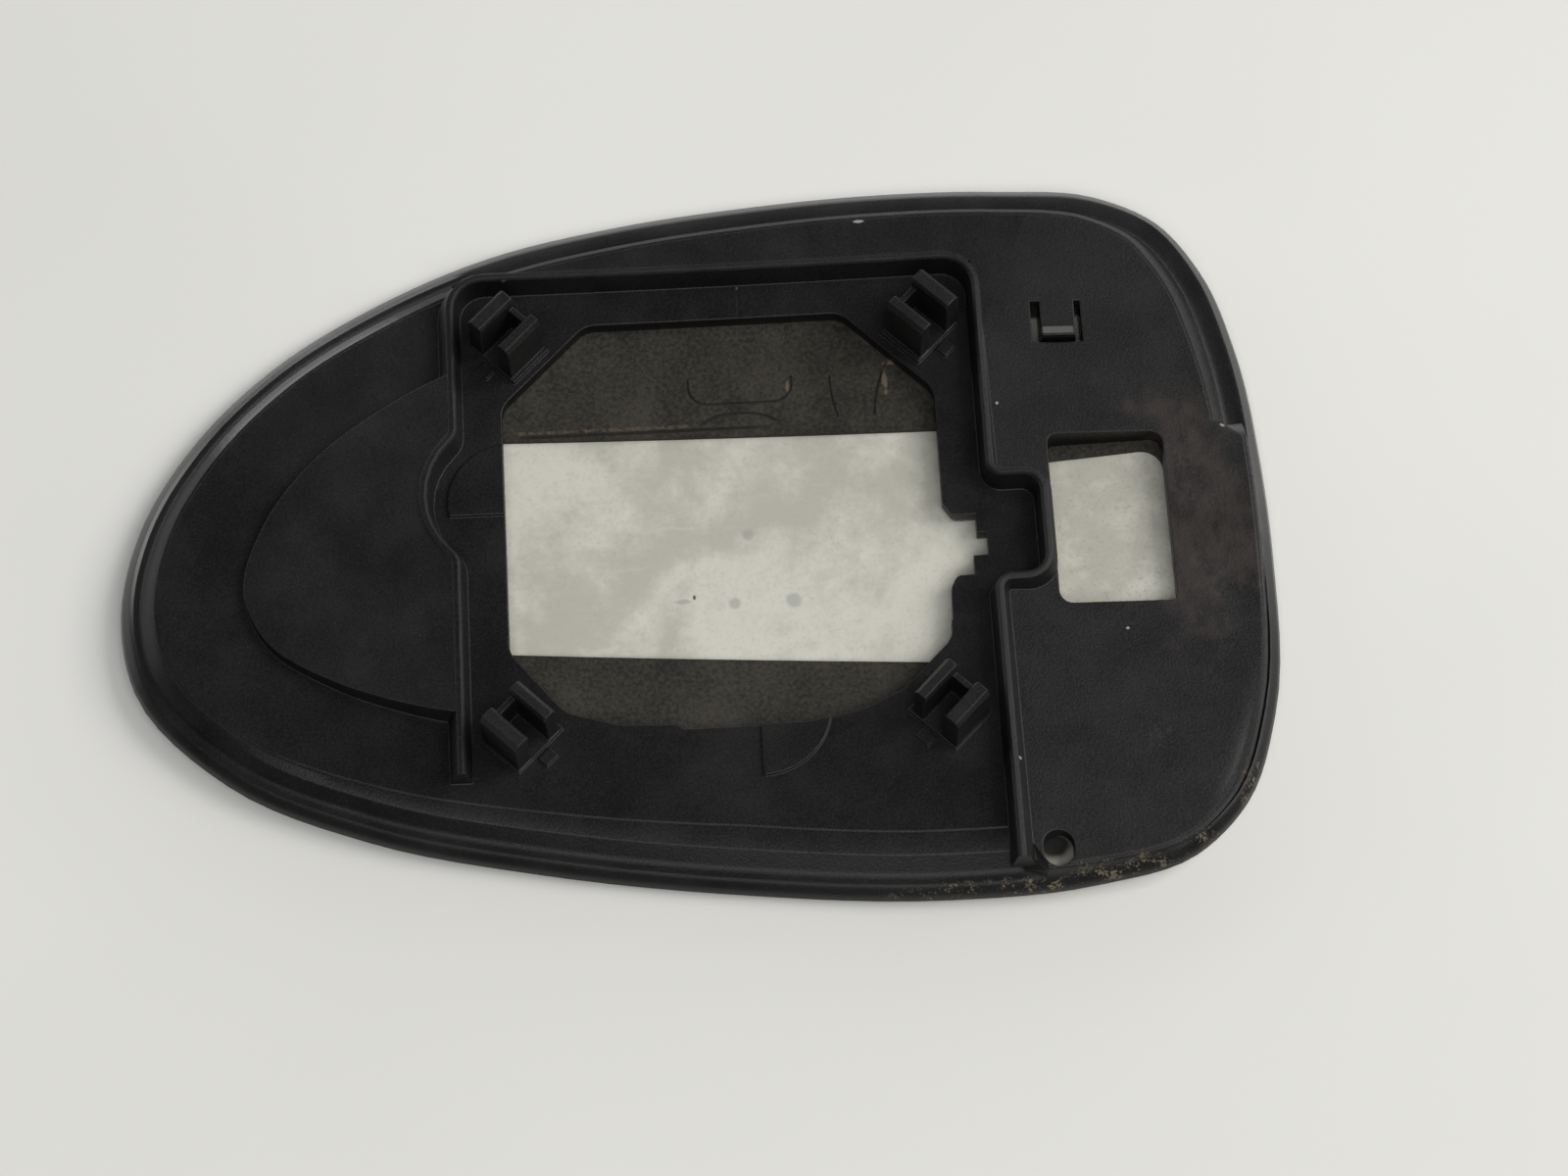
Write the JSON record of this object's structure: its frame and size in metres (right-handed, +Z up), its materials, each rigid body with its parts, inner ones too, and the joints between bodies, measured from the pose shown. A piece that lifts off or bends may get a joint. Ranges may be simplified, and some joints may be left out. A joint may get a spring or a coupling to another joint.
{
  "type": "car door mirror glass",
  "caption": "Convex exterior mirror glass for a car door, bonded to a moulded black backing plate with clip prongs, an open actuator pocket and a connector opening; lies face down.",
  "frame": {"origin": "under the middle of the outline, on the surface that the convex front of the glass lies on", "axes": "+X along the mirror to its blunt end, +Y across it to the upper edge, +Z up out of the back of the plate"},
  "size_m": [0.175, 0.117, 0.0156],
  "materials": {
    "plate_black": "fine-grained black moulding, dusty and scuffed",
    "pad_foam": "brown-grey adhesive foam, torn and creased in places",
    "mirror": "silvered front, pale grey painted back"
  },
  "bodies": {
    "root": {"backing_plate": "plate_black", "adhesive_pad": "pad_foam", "mirror_glass": "mirror"}
  },
  "joints": []
}
